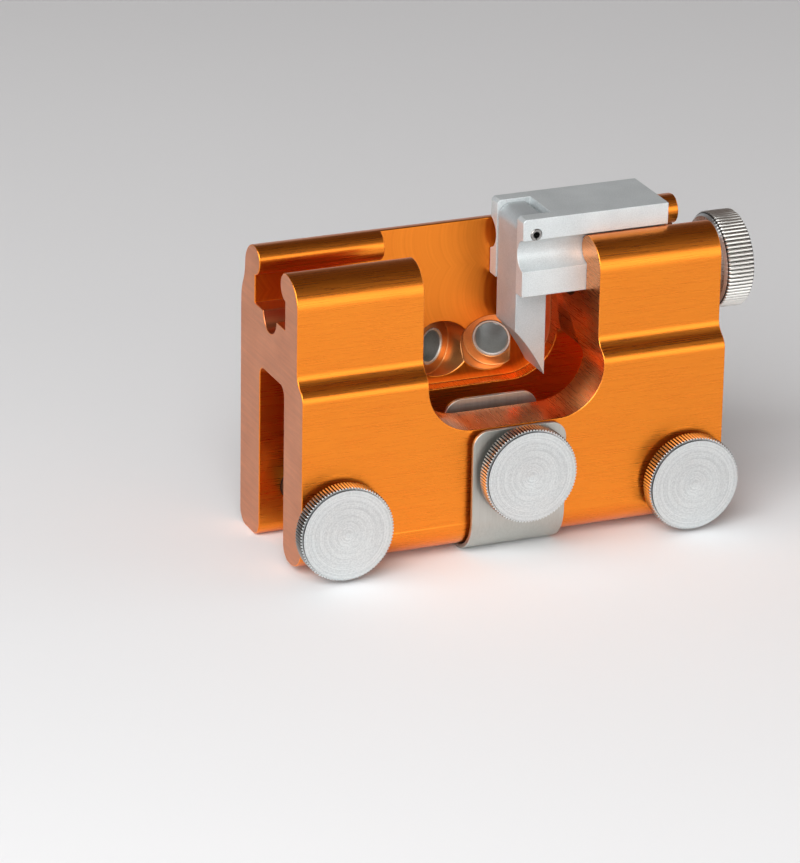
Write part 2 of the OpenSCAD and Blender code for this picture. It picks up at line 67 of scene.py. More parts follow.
print("frame loaded", len(nodes), "nodes")


# camera, fitted to the photograph
cameraSet = {
    "place": (-381.8, -846.8, 394.0),
    "forward": (0.36151, 0.85582, -0.36999),
    "roll": 0.9587,
    "lens": 217.8,
    "sensor": 36,
    "nearest": 0.05,
    "farthest": 20,
}


def makeCamera():
    c = cameraSet
    forward = Vector(c["forward"]).normalized()
    side = forward.cross(Vector((0, 0, 1))).normalized()
    top = side.cross(forward)
    roll = math.radians(c["roll"])
    right = side * math.cos(roll) + top * math.sin(roll)
    up = top * math.cos(roll) - side * math.sin(roll)
    data = bpy.data.cameras.new("photoCamera")
    data.lens = c["lens"]
    data.sensor_width = c["sensor"]
    data.clip_start = c["nearest"]
    data.clip_end = c["farthest"]
    camera = bpy.data.objects.new("photoCamera", data)
    scene.collection.objects.link(camera)
    turn = Matrix((right, up, -forward)).transposed().to_4x4()
    camera.matrix_world = Matrix.Translation(spot(*c["place"])) @ turn
    scene.camera = camera


makeCamera()
print("camera placed")


# node groups that several finishes share
patternSet = {
    "lineDetail": 4.0,
    "lineRoughness": 0.65,
    "cloudDetail": 3.0,
    "grainDetail": 2.0,
    "ringDetail": 3.0,
    "ringShare": 0.55,
    "ringGrain": 3000.0,
    "ringGrainShare": 0.45,
    "arcDetail": 3.0,
    "arcCloud": 160.0,
    "arcContrast": 1.6,
}


def startGroup(name, inputs, outputs):
    group = bpy.data.node_groups.new(name, "ShaderNodeTree")
    for label, kind, value in inputs:
        socket = group.interface.new_socket(label, in_out="INPUT", socket_type=kind)
        socket.default_value = value
    for label, kind in outputs:
        group.interface.new_socket(label, in_out="OUTPUT", socket_type=kind)
    tree = group.nodes
    return group, tree, group.links, tree.new("NodeGroupInput"), tree.new("NodeGroupOutput")


def mathNode(tree, links, operation, first, second=None):
    node = tree.new("ShaderNodeMath")
    node.operation = operation
    for index, value in enumerate((first, second)):
        if value is None:
            continue
        if isinstance(value, (int, float)):
            node.inputs[index].default_value = value
        else:
            links.new(value, node.inputs[index])
    return node.outputs[0]


def squared(tree, links, value):
    return mathNode(tree, links, "MULTIPLY", value, value)


def weighted(tree, links, first, firstShare, second, secondShare):
    return mathNode(tree, links, "ADD", mathNode(tree, links, "MULTIPLY", first, firstShare),
                    mathNode(tree, links, "MULTIPLY", second, secondShare))


def noiseNode(tree, links, place, scale, detail, roughness=0.5):
    node = tree.new("ShaderNodeTexNoise")
    node.inputs["Detail"].default_value = detail
    node.inputs["Roughness"].default_value = roughness
    links.new(place, node.inputs["Vector"])
    if isinstance(scale, (int, float)):
        node.inputs["Scale"].default_value = scale
    else:
        links.new(scale, node.inputs["Scale"])
    return node.outputs["Fac"]


def makeLineGroup():
    # long fine lines in one direction, from stretched noise
    p = patternSet
    group, tree, links, inside, outside = startGroup(
        "drawnLines",
        [("Stretch", "NodeSocketVector", (60, 4500, 4500)), ("Mottle", "NodeSocketFloat", 90.0)],
        [("Lines", "NodeSocketFloat"), ("Cloud", "NodeSocketFloat")],
    )
    place = tree.new("ShaderNodeTexCoord").outputs["Object"]
    scale = tree.new("ShaderNodeMapping")
    links.new(place, scale.inputs["Vector"])
    links.new(inside.outputs["Stretch"], scale.inputs["Scale"])
    lines = noiseNode(tree, links, scale.outputs["Vector"], 1.0, p["lineDetail"], p["lineRoughness"])
    cloud = noiseNode(tree, links, place, inside.outputs["Mottle"], p["cloudDetail"])
    links.new(lines, outside.inputs["Lines"])
    links.new(cloud, outside.inputs["Cloud"])
    return group


def makeRingGroup():
    # rings round the piece's own Z axis, as a lathe tool leaves them
    p = patternSet
    group, tree, links, inside, outside = startGroup(
        "turnedRings",
        [("Fineness", "NodeSocketFloat", 6000.0), ("Run", "NodeSocketFloat", 2.0)],
        [("Rings", "NodeSocketFloat"), ("Radius", "NodeSocketFloat")],
    )
    place = tree.new("ShaderNodeTexCoord").outputs["Object"]
    split = tree.new("ShaderNodeSeparateXYZ")
    links.new(place, split.inputs[0])
    x = split.outputs["X"]
    y = split.outputs["Y"]
    reach = mathNode(tree, links, "ADD", squared(tree, links, x), squared(tree, links, y))
    radius = mathNode(tree, links, "SQRT", reach)
    angle = mathNode(tree, links, "ARCTAN2", y, x)
    join = tree.new("ShaderNodeCombineXYZ")
    links.new(mathNode(tree, links, "MULTIPLY", radius, inside.outputs["Fineness"]), join.inputs["X"])
    for axis, wave in (("Y", "COSINE"), ("Z", "SINE")):
        turn = mathNode(tree, links, wave, angle)
        links.new(mathNode(tree, links, "MULTIPLY", turn, inside.outputs["Run"]), join.inputs[axis])
    rings = noiseNode(tree, links, join.outputs[0], 1.0, p["ringDetail"])
    grain = noiseNode(tree, links, place, p["ringGrain"], p["grainDetail"])
    mixed = weighted(tree, links, rings, p["ringShare"], grain, p["ringGrainShare"])
    links.new(mixed, outside.inputs["Rings"])
    links.new(radius, outside.inputs["Radius"])
    return group


def makeGrainGroup():
    # blasted grain with slow cloudiness
    p = patternSet
    group, tree, links, inside, outside = startGroup(
        "blastedGrain",
        [("Fineness", "NodeSocketFloat", 5000.0), ("Mottle", "NodeSocketFloat", 120.0)],
        [("Grain", "NodeSocketFloat"), ("Cloud", "NodeSocketFloat")],
    )
    place = tree.new("ShaderNodeTexCoord").outputs["Object"]
    layers = [("Fineness", "Grain", p["grainDetail"]), ("Mottle", "Cloud", p["cloudDetail"])]
    for socket, label, detail in layers:
        links.new(noiseNode(tree, links, place, inside.outputs[socket], detail), outside.inputs[label])
    return group


def makeMillGroup():
    # arcs that an end mill leaves as it steps along X, in rows one above the other
    p = patternSet
    group, tree, links, inside, outside = startGroup(
        "millArcs",
        [
            ("Step", "NodeSocketFloat", 1400.0),
            ("Reach", "NodeSocketFloat", 0.0095),
            ("Row", "NodeSocketFloat", 0.013),
        ],
        [("Arcs", "NodeSocketFloat")],
    )
    place = tree.new("ShaderNodeTexCoord").outputs["Object"]
    split = tree.new("ShaderNodeSeparateXYZ")
    links.new(place, split.inputs[0])
    row = inside.outputs["Row"]
    share = mathNode(tree, links, "FRACT", mathNode(tree, links, "DIVIDE", split.outputs["Z"], row))
    off = mathNode(tree, links, "MULTIPLY", mathNode(tree, links, "SUBTRACT", share, 0.5), row)
    reach = squared(tree, links, inside.outputs["Reach"])
    left = mathNode(tree, links, "SUBTRACT", reach, squared(tree, links, off))
    bow = mathNode(tree, links, "SQRT", mathNode(tree, links, "MAXIMUM", left, 0.0))
    along = mathNode(tree, links, "ADD", split.outputs["X"], bow)
    wave = tree.new("ShaderNodeTexNoise")
    wave.noise_dimensions = "1D"
    wave.inputs["Scale"].default_value = 1.0
    wave.inputs["Detail"].default_value = p["arcDetail"]
    links.new(mathNode(tree, links, "MULTIPLY", along, inside.outputs["Step"]), wave.inputs["W"])
    cloud = noiseNode(tree, links, place, p["arcCloud"], p["grainDetail"])
    swing = mathNode(tree, links, "SUBTRACT", wave.outputs["Fac"], 0.5)
    faded = mathNode(tree, links, "MULTIPLY", swing, cloud)
    strong = mathNode(tree, links, "MULTIPLY", faded, p["arcContrast"])
    links.new(mathNode(tree, links, "ADD", strong, 0.5), outside.inputs["Arcs"])
    return group


lineGroup = makeLineGroup()
ringGroup = makeRingGroup()
grainGroup = makeGrainGroup()
millGroup = makeMillGroup()


# finishes, with the share of each pattern in the colour and the depth of its relief in metres
finishSet = {
    "lineShare": 0.7,
    "lineCloudShare": 0.3,
    "lineDepth": 0.00004,
    "arcDepth": 0.00004,
    "ringDepth": 0.00003,
    "grainShare": 0.6,
    "grainCloudShare": 0.4,
    "grainDepth": 0.00003,
    "ridgeFineness": 2500.0,
    "ridgeRun": 40.0,
}


def startFinish(name, settings):
    finish = bpy.data.materials.new(name)
    finish.use_nodes = True
    tree = finish.node_tree.nodes
    links = finish.node_tree.links
    shader = tree["Principled BSDF"]
    for label, value in settings.items():
        shader.inputs[label].default_value = value
    return finish, tree, links, shader


def placeGroup(tree, group, values):
    node = tree.new("ShaderNodeGroup")
    node.node_tree = group
    for label, value in values.items():
        node.inputs[label].default_value = value
    return node


def ramp(tree, links, source, stops):
    node = tree.new("ShaderNodeValToRGB")
    band = node.color_ramp
    while len(band.elements) < len(stops):
        band.elements.new(0.5)
    for element, (where, colour) in zip(band.elements, stops):
        element.position = where
        element.color = (*colour, 1.0)
    links.new(source, node.inputs["Fac"])
    return node.outputs["Color"]


def spread(tree, links, source, low, high, fromLow=0.3, fromHigh=0.7):
    node = tree.new("ShaderNodeMapRange")
    node.inputs["From Min"].default_value = fromLow
    node.inputs["From Max"].default_value = fromHigh
    node.inputs["To Min"].default_value = low
    node.inputs["To Max"].default_value = high
    links.new(source, node.inputs["Value"])
    return node.outputs["Result"]


def bump(tree, links, source, shader, strength, distance):
    node = tree.new("ShaderNodeBump")
    node.inputs["Strength"].default_value = strength
    node.inputs["Distance"].default_value = distance
    links.new(source, node.inputs["Height"])
    links.new(node.outputs["Normal"], shader.inputs["Normal"])


def dress(tree, links, shader, tone, pattern, colours, rough, strength, depth):
    # the tone picks the colour, the pattern sets gloss and relief
    links.new(ramp(tree, links, tone, colours), shader.inputs["Base Color"])
    links.new(spread(tree, links, pattern, *rough), shader.inputs["Roughness"])
    bump(tree, links, pattern, shader, strength, depth)


def linedFinish(name, shaderSet, stretch, mottle, colours, rough, strength):
    f = finishSet
    finish, tree, links, shader = startFinish(name, shaderSet)
    drawn = placeGroup(tree, lineGroup, {"Stretch": stretch, "Mottle": mottle})
    lines = drawn.outputs["Lines"]
    tone = weighted(tree, links, lines, f["lineShare"], drawn.outputs["Cloud"], f["lineCloudShare"])
    dress(tree, links, shader, tone, lines, colours, rough, strength, f["lineDepth"])
    return finish


def milledFinish(name, shaderSet, step, row, colours, rough, strength):
    finish, tree, links, shader = startFinish(name, shaderSet)
    arcs = placeGroup(tree, millGroup, {"Step": step, "Row": row}).outputs["Arcs"]
    dress(tree, links, shader, arcs, arcs, colours, rough, strength, finishSet["arcDepth"])
    return finish


def turnedFinish(name, shaderSet, fineness, run, colours, rough, strength):
    finish, tree, links, shader = startFinish(name, shaderSet)
    rings = placeGroup(tree, ringGroup, {"Fineness": fineness, "Run": run}).outputs["Rings"]
    dress(tree, links, shader, rings, rings, colours, rough, strength, finishSet["ringDepth"])
    return finish


def grainedFinish(name, shaderSet, fineness, mottle, colours, rough, strength):
    f = finishSet
    finish, tree, links, shader = startFinish(name, shaderSet)
    blasted = placeGroup(tree, grainGroup, {"Fineness": fineness, "Mottle": mottle})
    grain = blasted.outputs["Grain"]
    tone = weighted(tree, links, grain, f["grainShare"], blasted.outputs["Cloud"], f["grainCloudShare"])
    dress(tree, links, shader, tone, grain, colours, rough, strength, f["grainDepth"])
    return finish


def grooveShadedFinish(name, shaderSet, low, high, colours, rough):
    # painted shade: darker towards the bottom of the grooves, low and high in millimetres from the axis
    f = finishSet
    finish, tree, links, shader = startFinish(name, shaderSet)
    rings = placeGroup(tree, ringGroup, {"Fineness": f["ridgeFineness"], "Run": f["ridgeRun"]})
    depth = spread(tree, links, rings.outputs["Radius"], 0.0, 1.0, low * mm, high * mm)
    links.new(ramp(tree, links, depth, colours), shader.inputs["Base Color"])
    links.new(spread(tree, links, rings.outputs["Rings"], *rough), shader.inputs["Roughness"])
    return finish


orangeExtruded = linedFinish(
    "orangeExtruded", {"Metallic": 1.0, "Coat Weight": 0.5, "Coat Roughness": 0.3},
    stretch=(110, 5200, 5200), mottle=80, rough=(0.25, 0.33), strength=0.1,
    colours=[(0.3, (0.91, 0.235, 0.007)), (0.52, (0.95, 0.263, 0.009)), (0.75, (0.97, 0.284, 0.012))])
orangeSawn = linedFinish(
    "orangeSawn", {"Metallic": 0.9},
    stretch=(3000, 110, 1700), mottle=150, rough=(0.44, 0.58), strength=0.5,
    colours=[(0.3, (0.53, 0.215, 0.115)), (0.7, (0.71, 0.32, 0.185))])
# a darker copy of orangeExtruded for the channel's inside walls: painted shade in the channel
orangeInsideShaded = linedFinish(
    "orangeInsideShaded", {"Metallic": 1.0, "Coat Weight": 0.5, "Coat Roughness": 0.3},
    stretch=(110, 4200, 4200), mottle=90, rough=(0.28, 0.38), strength=0.1,
    colours=[(0.3, (0.58, 0.17, 0.06)), (0.7, (0.66, 0.21, 0.08))])
orangeMilled = linedFinish(
    "orangeMilled", {"Metallic": 1.0},
    stretch=(3600, 130, 3600), mottle=120, rough=(0.24, 0.33), strength=0.06,
    colours=[(0.3, (0.64, 0.235, 0.075)), (0.7, (0.74, 0.28, 0.095))])
orangeFaced = milledFinish(
    "orangeFaced", {"Metallic": 1.0, "Coat Weight": 0.4, "Coat Roughness": 0.3},
    step=1500, row=0.0125, rough=(0.28, 0.36), strength=0.12,
    colours=[(0.35, (0.88, 0.225, 0.008)), (0.65, (0.95, 0.265, 0.014))])
orangeBored = grainedFinish(
    "orangeBored", {"Metallic": 1.0, "Coat Weight": 0.3, "Coat Roughness": 0.3},
    fineness=3000, mottle=200, rough=(0.30, 0.40), strength=0.1,
    colours=[(0.35, (0.62, 0.27, 0.085)), (0.7, (0.72, 0.33, 0.115))])
silverBlasted = grainedFinish(
    "silverBlasted", {"Metallic": 0.5},
    fineness=4200, mottle=140, rough=(0.44, 0.54), strength=0.3,
    colours=[(0.35, (0.51, 0.545, 0.55)), (0.65, (0.65, 0.685, 0.69))])
# a darker copy of silverBlasted for the pawl: painted shade, as the pawl sits in the slide's shade
pawlBlastedShaded = grainedFinish(
    "pawlBlastedShaded", {"Metallic": 0.5},
    fineness=4200, mottle=140, rough=(0.44, 0.54), strength=0.3,
    colours=[(0.35, (0.37, 0.40, 0.41)), (0.65, (0.48, 0.51, 0.52))])
faceTurned = turnedFinish(
    "faceTurned", {"Metallic": 1.0},
    fineness=7500, run=0.6, rough=(0.32, 0.42), strength=0.3,
    colours=[(0.38, (0.59, 0.62, 0.625)), (0.62, (0.78, 0.81, 0.81))])
# a darker copy of the adjusting knob's ridged steel: painted shade on the thumb screws' teeth, with painted
# shade deepening into the grooves
thumbRidgeShaded = grooveShadedFinish(
    "thumbRidgeShaded", {"Metallic": 1.0}, low=9.17, high=9.57, rough=(0.26, 0.36),
    colours=[(0.0, (0.02, 0.019, 0.017)), (0.4, (0.05, 0.048, 0.044)), (0.7, (0.44, 0.43, 0.41))])
# ridged steel of the adjusting knob, with painted shade darkening the grooves
knobRidgeShadedGrooves = grooveShadedFinish(
    "knobRidgeShadedGrooves", {"Metallic": 1.0}, low=9.15, high=9.57, rough=(0.26, 0.36),
    colours=[(0.0, (0.03, 0.028, 0.025)), (0.35, (0.08, 0.077, 0.07)), (0.65, (0.88, 0.87, 0.83))])
boreSteel = grainedFinish(
    "boreSteel", {"Metallic": 1.0},
    fineness=2500, mottle=300, rough=(0.24, 0.34), strength=0.1,
    colours=[(0.35, (0.52, 0.52, 0.50)), (0.65, (0.66, 0.66, 0.64))])
bushSteel = grainedFinish(
    "bushSteel", {"Metallic": 1.0},
    fineness=2500, mottle=300, rough=(0.44, 0.54), strength=0.1,
    colours=[(0.35, (0.60, 0.60, 0.57)), (0.65, (0.72, 0.72, 0.69))])
plateSatin = linedFinish(
    "plateSatin", {"Metallic": 1.0},
    stretch=(4200, 4200, 90), mottle=110, rough=(0.34, 0.44), strength=0.2,
    colours=[(0.3, (0.47, 0.465, 0.43)), (0.7, (0.58, 0.575, 0.54))])
# black oxide for the small dark pieces, and also painted shade on the thumb screws' face step
darkOxideAndStepShade = grainedFinish(
    "darkOxideAndStepShade", {"Metallic": 0.8},
    fineness=4000, mottle=260, rough=(0.30, 0.45), strength=0.2,
    colours=[(0.35, (0.025, 0.025, 0.027)), (0.65, (0.06, 0.06, 0.06))])
pinSteel = grainedFinish(
    "pinSteel", {"Metallic": 1.0},
    fineness=3000, mottle=260, rough=(0.24, 0.34), strength=0.1,
    colours=[(0.35, (0.30, 0.29, 0.28)), (0.65, (0.40, 0.39, 0.37))])
tipBrass = grainedFinish(
    "tipBrass", {"Metallic": 1.0},
    fineness=3000, mottle=260, rough=(0.25, 0.38), strength=0.1,
    colours=[(0.35, (0.55, 0.36, 0.12)), (0.65, (0.68, 0.47, 0.18))])
print("finishes made")


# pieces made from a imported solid, with its hard edges broken
edgeSet = {
    "weld": 0.002,
    "flatAngle": 0.4,
    "hardAngle": 28,
    "segments": 2,
    "foldAngle": 160,
    "foldArea": 1e-10,
    "foldReach": 3.5,
    "tries": 4,
    "endFacing": 0.95,
    "widths": {"bodyShell": 0.2, "slideBlock": 0.14, "pawlArm": 0.14, "plateStrip": 0.12, "keeperBlock": 0.12},
}
bodyFinishes = {
    "extruded": orangeExtruded,
    "sawn": orangeSawn,
    "milled": orangeMilled,
    "bored": orangeBored,
    "faced": orangeFaced,
    "inside": orangeInsideShaded,
}
bodySlots = {label: index for index, label in enumerate(bodyFinishes)}


def nearFold(edge, folds, reach):
    start = edge.verts[0].co
    along = edge.verts[1].co - start
    for fold in folds:
        share = (fold - start).dot(along) / along.length_squared
        if (start + along * min(1.0, max(0.0, share)) - fold).length < reach:
            return True
    return False


def foldPlaces(shape):
    # where a broken edge has no room and the surface doubles back
    test = shape.copy()
    bmesh.ops.triangulate(test, faces=test.faces)
    limit = math.radians(edgeSet["foldAngle"])
    places = []
    for edge in test.edges:
        if edge.is_manifold and edge.calc_face_angle(0) > limit:
            if min(face.calc_area() for face in edge.link_faces) > edgeSet["foldArea"]:
                places.append((edge.verts[0].co + edge.verts[1].co) / 2)
    test.free()
    return places


def brokenEdges(mesh, pick, width, folds):
    # edges near a known fold stay sharp
    e = edgeSet
    shape = bmesh.new()
    shape.from_mesh(mesh)
    bmesh.ops.remove_doubles(shape, verts=shape.verts, dist=e["weld"] * mm)
    flat = math.radians(e["flatAngle"])
    bmesh.ops.dissolve_limit(shape, angle_limit=flat, verts=shape.verts, edges=shape.edges)
    for face in shape.faces:
        face.material_index = pick(bodyMm(face.calc_center_median()), face.normal) if pick else 0
    limit = math.radians(e["hardAngle"])
    reach = e["foldReach"] * width * mm
    hard = []
    for edge in shape.edges:
        if edge.is_manifold and edge.calc_face_angle(0) > limit and not nearFold(edge, folds, reach):
            hard.append(edge)
    bmesh.ops.bevel(shape, geom=hard, offset=width * mm, offset_type="OFFSET", segments=e["segments"],
                    profile=0.5, affect="EDGES", clamp_overlap=False, material=-1, loop_slide=True)
    return shape


def edgedCopy(name, node, body, finishes, pick=None, sharpPlaces=()):
    e = edgeSet
    mesh = nodes[node].data.copy()
    mesh.name = name
    mesh.materials.clear()
    for finish in finishes:
        mesh.materials.append(finish)
    folds = list(sharpPlaces)
    for attempt in range(e["tries"]):
        shape = brokenEdges(mesh, pick, e["widths"][name], folds)
        found = foldPlaces(shape)
        print(name, "edges broken with", len(found), "folds")
        if not found or attempt == e["tries"] - 1:
            break
        folds.extend(found)
        shape.free()
    for face in shape.faces:
        face.smooth = True
        if face.material_index == bodySlots["sawn"] and abs(face.normal.x) < e["endFacing"]:
            face.material_index = bodySlots["extruded"]  # the broken edge of a sawn end
    shape.to_mesh(mesh)
    shape.free()
    piece = bpy.data.objects.new(name, mesh)
    scene.collection.objects.link(piece)
    smooth = piece.modifiers.new("flatFaces", "WEIGHTED_NORMAL")
    smooth.keep_sharp = True
    smooth.weight = 100
    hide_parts(node)
    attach(piece, body)
    print(name, "made with", len(mesh.polygons), "faces")


bodySet = {
    "notchHalf": 18.2,
    "sill": 26.1,
    "notchBack": 25.25,
    "backFacing": 0.9,
    "seatRadius": 5.6,
    "seatFacing": 0.99,
    "channelLow": 43.7,
    "channelHigh": 53.2,
    "channelEase": 0.2,
    "clampHole": 3.235,
    "slack": 0.05,
}
bodyEnd = (bodyHigh.x - bodyLow.x) / 2 / mm
bushLow, bushHigh = nodeBox("left_guide_bush")
guideHeight = (bushLow.z + bushHigh.z) / 2 / mm
keeperLow, keeperHigh = nodeBox("screw_keeper")
channelMid = bodyMm((keeperLow + keeperHigh) / 2).y
channelHalf = (keeperHigh.y - keeperLow.y) / 2 / mm + bodySet["channelEase"]


def pickBody(point, normal):
    b = bodySet
    slack = b["slack"]
    if abs(normal.x) > edgeSet["endFacing"] and abs(point.x) > bodyEnd - slack:
        return bodySlots["sawn"]
    inside = abs(point.x) < b["notchHalf"] + slack
    nearGuides = inside and abs(point.z - guideHeight) < b["seatRadius"]
    if nearGuides and point.y > b["notchBack"] + slack and abs(normal.y) < b["seatFacing"]:
        return bodySlots["bored"]
    if inside and point.z > b["sill"] - slack and point.y < b["notchBack"] + slack:
        onBack = normal.y < -b["backFacing"] and point.y > b["notchBack"] - slack
        return bodySlots["faced"] if onBack else bodySlots["milled"]
    # the channel's inside walls under the beads take the darker orange, as painted shade
    if abs(point.y - channelMid) < channelHalf and b["channelLow"] < point.z < b["channelHigh"]:
        return bodySlots["inside"]
    return bodySlots["extruded"]


def clampHoleFoot(node):
    # here the hole's rim meets the start of the rounded foot
    low, high = nodeBox(node)
    axis = (low + high) / 2
    return Vector((axis.x, bodyLow.y, axis.z - bodySet["clampHole"] * mm))


edgedCopy("bodyShell", "body", "frame", bodyFinishes.values(), pickBody,
          [clampHoleFoot("left_clamp_screw"), clampHoleFoot("right_clamp_screw")])
edgedCopy("slideBlock", "pawl_slide", "slide", [silverBlasted])
edgedCopy("pawlArm", "pawl", "stop", [pawlBlastedShaded])
edgedCopy("plateStrip", "chain_plate", "plate", [plateSatin])
edgedCopy("keeperBlock", "screw_keeper", "frame", [silverBlasted])


# round pieces, lofted from rings about their own Z axis
loftSet = {"sharpAngle": 40, "tipRadius": 0.05}


def ringLoft(shape, rings, steps):
    # each ring is (radius or function of the angle, height, finish of the band above it)
    rows = []
    for radius, height, band in rings:
        row = []
        for i in range(steps):
            a = 2 * math.pi * i / steps
            r = radius(a) if callable(radius) else radius
            row.append(shape.verts.new((r * math.cos(a) * mm, r * math.sin(a) * mm, height * mm)))
        rows.append(row)
    for k in range(len(rows) - 1):
        for i in range(steps):
            j = (i + 1) % steps
            face = shape.faces.new((rows[k][i], rows[k][j], rows[k + 1][j], rows[k + 1][i]))
            face.material_index = rings[k][2]
            face.smooth = True
    first = shape.faces.new(list(reversed(rows[0])))
    first.material_index = rings[0][2]
    last = shape.faces.new(rows[-1])
    last.material_index = rings[-1][2]


def ridge(root, depth, count, power=1.0):
    # rounded ridges with sharp grooves between them, flatter on top for a small power
    def at(angle):
        return root + depth * abs(math.cos(angle * count / 2)) ** power
    return at


threadSet = {
    "radius": 3.175,
    "neckGap": 0.03,
    "pitch": 1.27,
    "depthShare": 0.54,
    "ringsPerTurn": 6,
    "fewestRings": 4,
    "fade": 0.8,
}
neckRadius = threadSet["radius"] - threadSet["neckGap"]


def threadRings(low, high, band):
    t = threadSet
    rings = []
    depth = t["depthShare"] * t["pitch"]
    count = max(t["fewestRings"], int((high - low) / (t["pitch"] / t["ringsPerTurn"])))
    for k in range(count + 1):
        z = low + (high - low) * k / count
        ease = min(1.0, (z - low) / t["fade"], (high - z) / t["fade"])

        def at(angle, z=z, ease=ease):
            share = (z / t["pitch"] - angle / (2 * math.pi)) % 1.0
            return t["radius"] - depth + depth * max(0.0, ease) * (1 - abs(2 * share - 1))
        rings.append((at, z, band))
    return rings


def roundPiece(name, shells, finishes, place, turn, node, body):
    shape = bmesh.new()
    for rings, steps in shells:
        ringLoft(shape, rings, steps)
    mesh = bpy.data.meshes.new(name)
    shape.to_mesh(mesh)
    shape.free()
    for finish in finishes:
        mesh.materials.append(finish)
    mesh.set_sharp_from_angle(angle=math.radians(loftSet["sharpAngle"]))
    piece = bpy.data.objects.new(name, mesh)
    scene.collection.objects.link(piece)
    piece.matrix_world = Matrix.Translation(place) @ turn
    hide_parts(node)
    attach(piece, body)
    print(name, "made with", len(mesh.polygons), "faces")


facingFront = Matrix.Rotation(math.radians(90), 4, "X")
facingRight = Matrix.Rotation(math.radians(90), 4, "Y")
faceBand, ridgeBand, steelBand, shadedStepBand = range(4)  # order of a knob's finishes

thumbSet = {
    "thick": 3.6,
    "rise": 0.4,
    "inset": 0.5,
    "ridges": 94,
    "ridgePoints": 8,
    "depth": 0.4,
    "toothBevel": 0.08,
    "backEdge": 0.3,
    "backRise": 0.02,
    "faceEase": 0.03,
    "dimple": 0.25,
    "dimpleFoot": 0.1,
    "shankPoints": 40,
}


def headRings(radius):
    t = thumbSet
    thick = t["thick"]
    ease = t["faceEase"]
    root = radius - t["depth"]
    rim = thick - t["rise"]
    crest = ridge(root, t["depth"], t["ridges"])
    low = ridge(root, t["depth"] - t["toothBevel"], t["ridges"])
    face = radius - t["inset"]
    return [
        (neckRadius, 0.0, steelBand),
        (root - t["backEdge"], 0.0, steelBand),
        (root, t["backRise"], ridgeBand),
        (crest, t["depth"], ridgeBand),
        (crest, rim - t["toothBevel"], faceBand),
        (low, rim, faceBand),
        (face, rim, shadedStepBand),  # step round the face painted near-black, as painted shade
        (face, thick - ease, shadedStepBand),
        (face - ease, thick, faceBand),
        (t["dimple"], thick, faceBand),
        (t["dimpleFoot"], thick - ease, faceBand),
    ]


def thumbScrew(name, node, body, shankRings):
    t = thumbSet
    low, high = nodeBox(node)
    radius = (high.x - low.x) / 2 / mm
    end = -((high.y - low.y) / mm - t["thick"])  # screw end, from the back of the head
    place = Vector(((low.x + high.x) / 2, low.y + t["thick"] * mm, (low.z + high.z) / 2))
    shells = [(headRings(radius), t["ridgePoints"] * t["ridges"]), (shankRings(end), t["shankPoints"])]
    # the last finish paints the step round the face near-black, as painted shade
    roundPiece(name, shells, [faceTurned, thumbRidgeShaded, boreSteel, darkOxideAndStepShade], place, facingFront,
               node, body)


clampSet = {"stem": 1.56, "hollow": 3.05, "threadEnd": -1.2, "neckStart": -1.1}


def clampShank(end):
    # hollow at its end for the stem of the clamp tip
    c = clampSet
    hollow = end + c["hollow"]
    return [
        (loftSet["tipRadius"], hollow, steelBand),
        (c["stem"], hollow, steelBand),
        (c["stem"], end, steelBand),
        *threadRings(end, c["threadEnd"], steelBand),
        (neckRadius, c["neckStart"], steelBand),
        (neckRadius, 0.0, steelBand),
    ]


plateScrewSet = {"groove": 2.45, "grooveNear": -1.85, "grooveFar": -2.55, "threadGap": 0.3, "neckGap": 0.2}


def plateShank(end):
    # groove for the retaining clip behind the plate
    p = plateScrewSet
    near = p["grooveNear"]
    far = p["grooveFar"]
    return [
        (loftSet["tipRadius"], end, steelBand),
        *threadRings(end, far - p["threadGap"], steelBand),
        (neckRadius, far - p["neckGap"], steelBand),
        (neckRadius, far, steelBand),
        (p["groove"], far, steelBand),
        (p["groove"], near, steelBand),
        (neckRadius, near, steelBand),
        (neckRadius, 0.0, steelBand),
    ]


thumbScrew("leftClampScrew", "left_clamp_screw", "left_screw", clampShank)
thumbScrew("rightClampScrew", "right_clamp_screw", "right_screw", clampShank)
thumbScrew("plateScrew", "plate_screw", "centre_screw", plateShank)

adjustSet = {
    "thick": 6.2,
    "ridges": 70,
    "ridgePoints": 8,
    "ridgePower": 0.7,
    "depth": 0.42,
    "innerBevel": 0.9,
    "outerBevel": 0.3,
    "hub": 6.5,
    "hubFillet": 0.15,
    "bore": 3.195,
    "chamfer": 0.2,
    "faceEase": 0.03,
    "faceEdge": 0.1,
    "collar": 4.6,
    "collarBack": 13.6,
    "collarThick": 2.0,
    "threadGap": 1.7,
    "neckGap": 1.5,
    "endChamfer": 0.35,
    "screwPoints": 48,
}


def adjustingKnob():
    a = adjustSet
    low, high = nodeBox("adjusting_knob")
    thick = a["thick"]
    chamfer = a["chamfer"]
    radius = (high.z - low.z) / 2 / mm
    root = radius - a["depth"]
    crest = ridge(root, a["depth"], a["ridges"], a["ridgePower"])
    hubBack = -((high.x - low.x) / mm - thick)
    inner = radius - a["innerBevel"]
    rim = min(root, radius - a["outerBevel"])
    rings = [
        (a["bore"], hubBack, steelBand),
        (a["hub"] - chamfer, hubBack, steelBand),
        (a["hub"], hubBack + chamfer, steelBand),
        (a["hub"], -a["hubFillet"], steelBand),
        (a["hub"] + a["hubFillet"], 0.0, steelBand),
        (inner, 0.0, faceBand),
        (root, root - inner, ridgeBand),
        (crest, a["innerBevel"], ridgeBand),
        (crest, thick - a["outerBevel"], ridgeBand),
        (rim, thick - a["faceEase"], steelBand),
        (rim - a["faceEdge"], thick, faceBand),
        (a["bore"] + chamfer, thick, faceBand),
        (a["bore"], thick - chamfer, faceBand),
    ]
    middle = (low + high) / 2
    place = Vector((high.x - thick * mm, middle.y, middle.z))
    roundPiece("adjustingKnob", [(rings, a["ridgePoints"] * a["ridges"])], [faceTurned, knobRidgeShadedGrooves, boreSteel],
               place, facingRight, "adjusting_knob", "adjuster")


